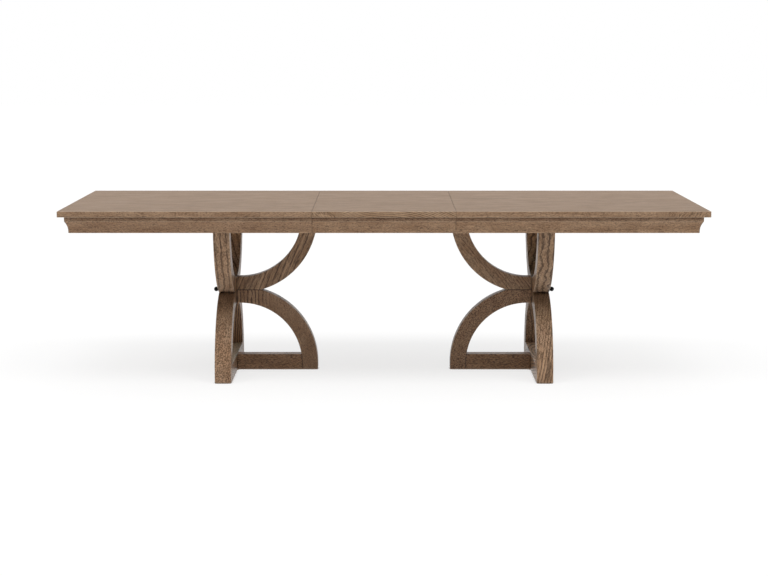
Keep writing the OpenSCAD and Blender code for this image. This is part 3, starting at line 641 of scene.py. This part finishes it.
def makePlain(name, settings):
    material, t = newMaterial(name)
    smoothest, roughest = settings["rough"]
    inputs = {"Broad": settings["broad"], "Fine": settings["fine"], "Dark": settings["dark"],
              "Light": settings["light"], "Smoothest": smoothest, "Roughest": roughest}
    cloud = t.add("ShaderNodeGroup", inputs, node_tree=cloudGroup).outputs
    inputs = {"Color": cloud["Color"], "Worn": settings["worn"], "Rub": settings["rub"]}
    color = t.add("ShaderNodeGroup", inputs, node_tree=wearGroup).outputs[0]
    inputs = {"Strength": settings["bump"], "Distance": settings["bumpDepth"], "Height": cloud["Height"]}
    bump = t.add("ShaderNodeBump", inputs)
    inputs = {"Base Color": color, "Roughness": cloud["Roughness"], "Normal": bump.outputs[0],
              "Metallic": settings["metal"], "IOR": settings["IOR"]}
    shader = t.add("ShaderNodeBsdfPrincipled", inputs)
    t.add("ShaderNodeOutputMaterial", {"Surface": shader.outputs[0]})
    return material


plainSettings = {
    "zincSteel": {"broad": (60.0, 60.0, 60.0), "fine": (900.0, 900.0, 900.0), "dark": (0.36, 0.36, 0.35),
                  "light": (0.62, 0.61, 0.58), "worn": (0.72, 0.71, 0.68), "rub": 0.6, "rough": (0.28, 0.46),
                  "bump": 0.12, "bumpDepth": 0.0003, "metal": 1.0, "IOR": 1.5},
    "blackCoat": {"broad": (90.0, 90.0, 90.0), "fine": (1400.0, 1400.0, 1400.0),
                  "dark": (0.0012, 0.0012, 0.0014), "light": (0.004, 0.004, 0.0044),
                  "worn": (0.03, 0.03, 0.032), "rub": 0.3, "rough": (0.22, 0.34),
                  "bump": 0.1, "bumpDepth": 0.0003, "metal": 0.0, "IOR": 1.24},
    "nylonPad": {"broad": (70.0, 70.0, 70.0), "fine": (700.0, 700.0, 700.0), "dark": (0.60, 0.57, 0.50),
                 "light": (0.74, 0.71, 0.64), "worn": (0.40, 0.36, 0.30), "rub": 0.5, "rough": (0.40, 0.55),
                 "bump": 0.15, "bumpDepth": 0.0003, "metal": 0.0, "IOR": 1.5},
}
plainMaterials = {name: makePlain(name, settings) for name, settings in plainSettings.items()}
print("made the metal and nylon:", len(plainMaterials))


def dressed(piece, node, material):
    piece.data.materials.clear()
    piece.data.materials.append(plainMaterials[material])
    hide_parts(node)


# The tie bolts, turned from one bar: shank, collar, waisted neck and ball. The face is the post's outer one.
boltSettings = {"face": 0.7325, "height": 0.3625, "shank": 0.004, "tipEase": 0.0008,
                "collar": 0.003, "collarRim": 0.002, "innerEase": 0.0004, "outerEase": 0.0009,
                "neck": 0.0034, "ballOut": 0.022, "ballRadius": 0.0105,
                "neckSteps": 4, "ballSteps": 16, "turns": 40, "wornSlope": (0.2, 0.95)}


def boltProfile(inner, settings):
    # Places along the bolt and radii, from the tip inside the post to the ball's end
    shank, tipEase, collar = settings["shank"], settings["tipEase"], settings["collar"]
    rim, innerEase, outerEase = shank + settings["collarRim"], settings["innerEase"], settings["outerEase"]
    out, ball, neck = settings["ballOut"], settings["ballRadius"], settings["neck"]
    profile = [(inner, 0.0), (inner, shank - tipEase), (inner + tipEase, shank), (0.0, shank),
               (0.0, rim - innerEase), (innerEase, rim), (collar - outerEase, rim), (collar, rim - outerEase)]
    start = math.asin(neck / ball)
    join = out - ball * math.cos(start)
    for step in range(settings["neckSteps"] + 1):
        share = step / settings["neckSteps"]
        profile.append((collar + (join - collar) * share, neck + (shank - neck) * (1.0 - share) ** 2))
    for step in range(1, settings["ballSteps"] + 1):
        angle = start + (math.pi - start) * step / settings["ballSteps"]
        profile.append((out - ball * math.cos(angle), ball * math.sin(angle)))
    return profile


def turnedBolt(side, inner, settings):
    bm = bmesh.new()
    wear = bm.faces.layers.float.new("wear")
    face, height = settings["face"], settings["height"]
    profile = boltProfile(inner, settings)
    points = [bm.verts.new((side * (face + place), 0.0, height + radius)) for place, radius in profile]
    edges = [bm.edges.new(pair) for pair in zip(points, points[1:])]
    bmesh.ops.spin(bm, geom=points + edges, cent=(0.0, 0.0, height), axis=(1.0, 0.0, 0.0),
                   angle=2.0 * math.pi, steps=settings["turns"], use_merge=True)
    bmesh.ops.remove_doubles(bm, verts=bm.verts, dist=copySettings["merge"])
    bmesh.ops.recalc_face_normals(bm, faces=bm.faces)
    least, most = settings["wornSlope"]
    for polygon in bm.faces:
        center = polygon.calc_center_median()
        onCollar = math.hypot(center.y, center.z - height) > settings["shank"] + 0.5 * settings["collarRim"]
        onCollar = onCollar and abs(center.x) < face + settings["collar"]
        polygon[wear] = 1.0 if onCollar and least < abs(polygon.normal.x) < most else 0.0
    return bm


for side, name in ((-1.0, "left"), (1.0, "right")):
    node = name + "_tie_bolt"
    low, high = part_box(node)
    inner = (-high[0] if side < 0 else low[0]) - boltSettings["face"]
    piece = smoothed(addPiece("turned_" + node, turnedBolt(side, inner, boltSettings), bodyOf[node]))
    dressed(piece, node, "blackCoat")
print("turned the tie bolts")

# Screws, levers, gear and glides: smooth copies with small eased edges
fittings = [n for n in nodes if n not in oakPieces and n not in beechPieces and not n.endswith("tie_bolt")]
for node in fittings:
    isNylon = node.endswith(("glides", "pinion"))
    bm = easedCopy(node, *easeSettings["fitting"], clamp=True)
    piece = smoothed(addPiece("fitting_" + node, bm, bodyOf[node]))
    dressed(piece, node, "nylonPad" if isNylon else "zincSteel")
print("made the fittings:", len(fittings))
